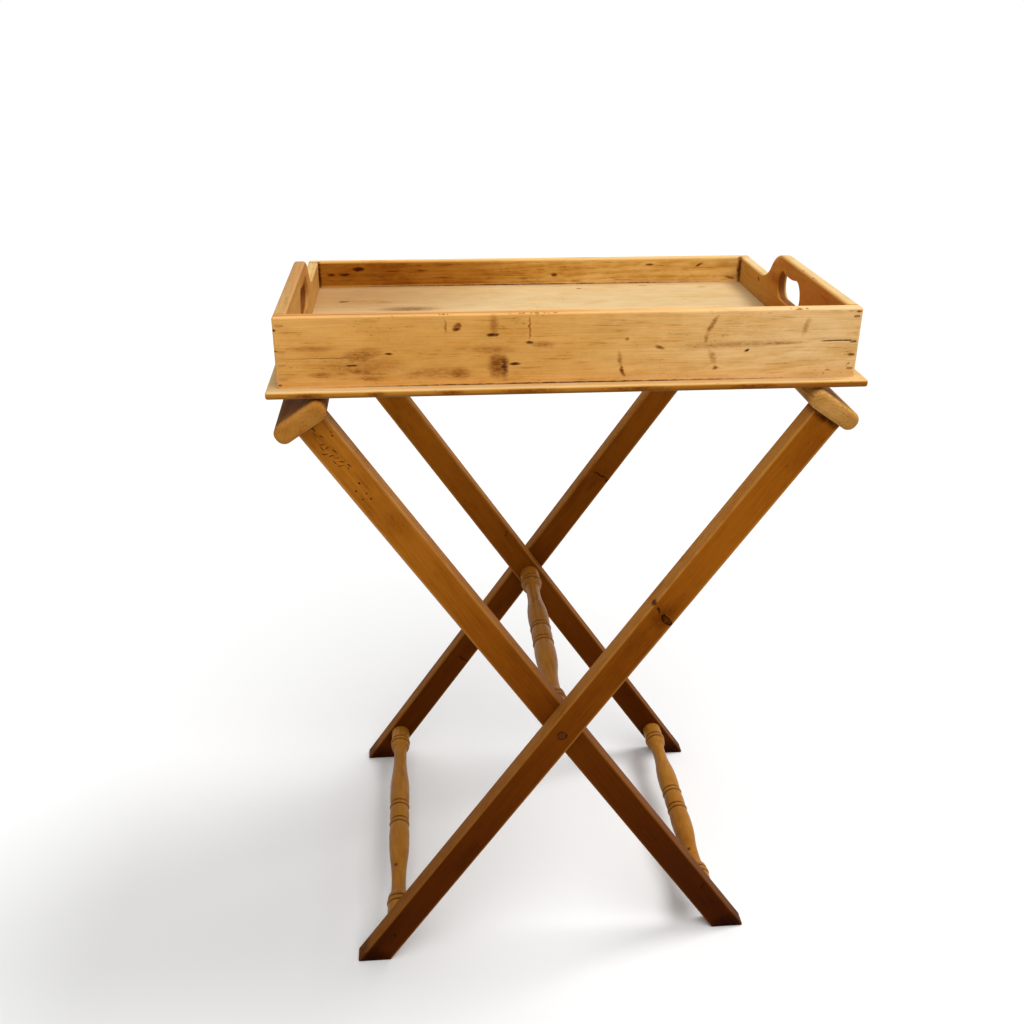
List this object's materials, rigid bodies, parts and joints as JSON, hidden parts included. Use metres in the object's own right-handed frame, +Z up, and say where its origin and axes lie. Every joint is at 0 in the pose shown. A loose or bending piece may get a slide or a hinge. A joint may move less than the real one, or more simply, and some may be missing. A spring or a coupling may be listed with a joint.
{
  "type": "butlers tray table",
  "caption": "Wooden tray with a low side, stepped ends with hand-holes and a projecting base lip, resting on a folding X-frame stand with turned stretchers.",
  "frame": {"origin": "middle of the bottom of the bounding box, on the floor under the pivot", "axes": "+X runs along the length of the tray, +Y from the tall side to the low side, +Z up"},
  "size_m": [0.623, 0.46, 0.8627],
  "materials": {
    "tray_pine": "waxed honey pine, satin",
    "stand_wood": "amber-brown stain, satin",
    "turned_wood": "amber-brown stain, polished on the lathe",
    "iron": "dull dark iron",
    "webbing": "woven jute"
  },
  "bodies": {
    "outer_frame": {"outer_near_leg": "stand_wood", "outer_far_leg": "stand_wood", "outer_top_rail": "stand_wood", "outer_lower_stretcher": "turned_wood", "outer_strap_tacks": "iron", "strap_near": "webbing", "strap_far": "webbing"},
    "inner_frame": {"inner_near_leg": "stand_wood", "inner_far_leg": "stand_wood", "inner_top_rail": "stand_wood", "inner_lower_stretcher": "turned_wood", "centre_stretcher": "turned_wood", "inner_strap_tacks": "iron"},
    "tray": {"tray_tall_side": "tray_pine", "tray_low_side": "tray_pine", "tray_left_end": "tray_pine", "tray_right_end": "tray_pine", "tray_base_near": "tray_pine", "tray_base_middle": "tray_pine", "tray_base_far": "tray_pine", "corner_brads": "iron", "base_brads": "iron"}
  },
  "joints": [
    {"name": "stand_fold", "type": "hinge", "parent": "outer_frame", "child": "inner_frame", "pos_m": [0, 0, 0.3495], "axis": [0, 1, 0], "range_deg": [0, 61], "deforming": ["strap_near", "strap_far"]},
    {"name": "tray_lift", "type": "slide", "parent": "outer_frame", "child": "tray", "axis": [0, 0, 1], "range_m": [0, 0.341]}
  ],
  "couplings": [
    {"joint": "tray_lift", "follows": "stand_fold", "m_per_rad": 0.32}
  ]
}
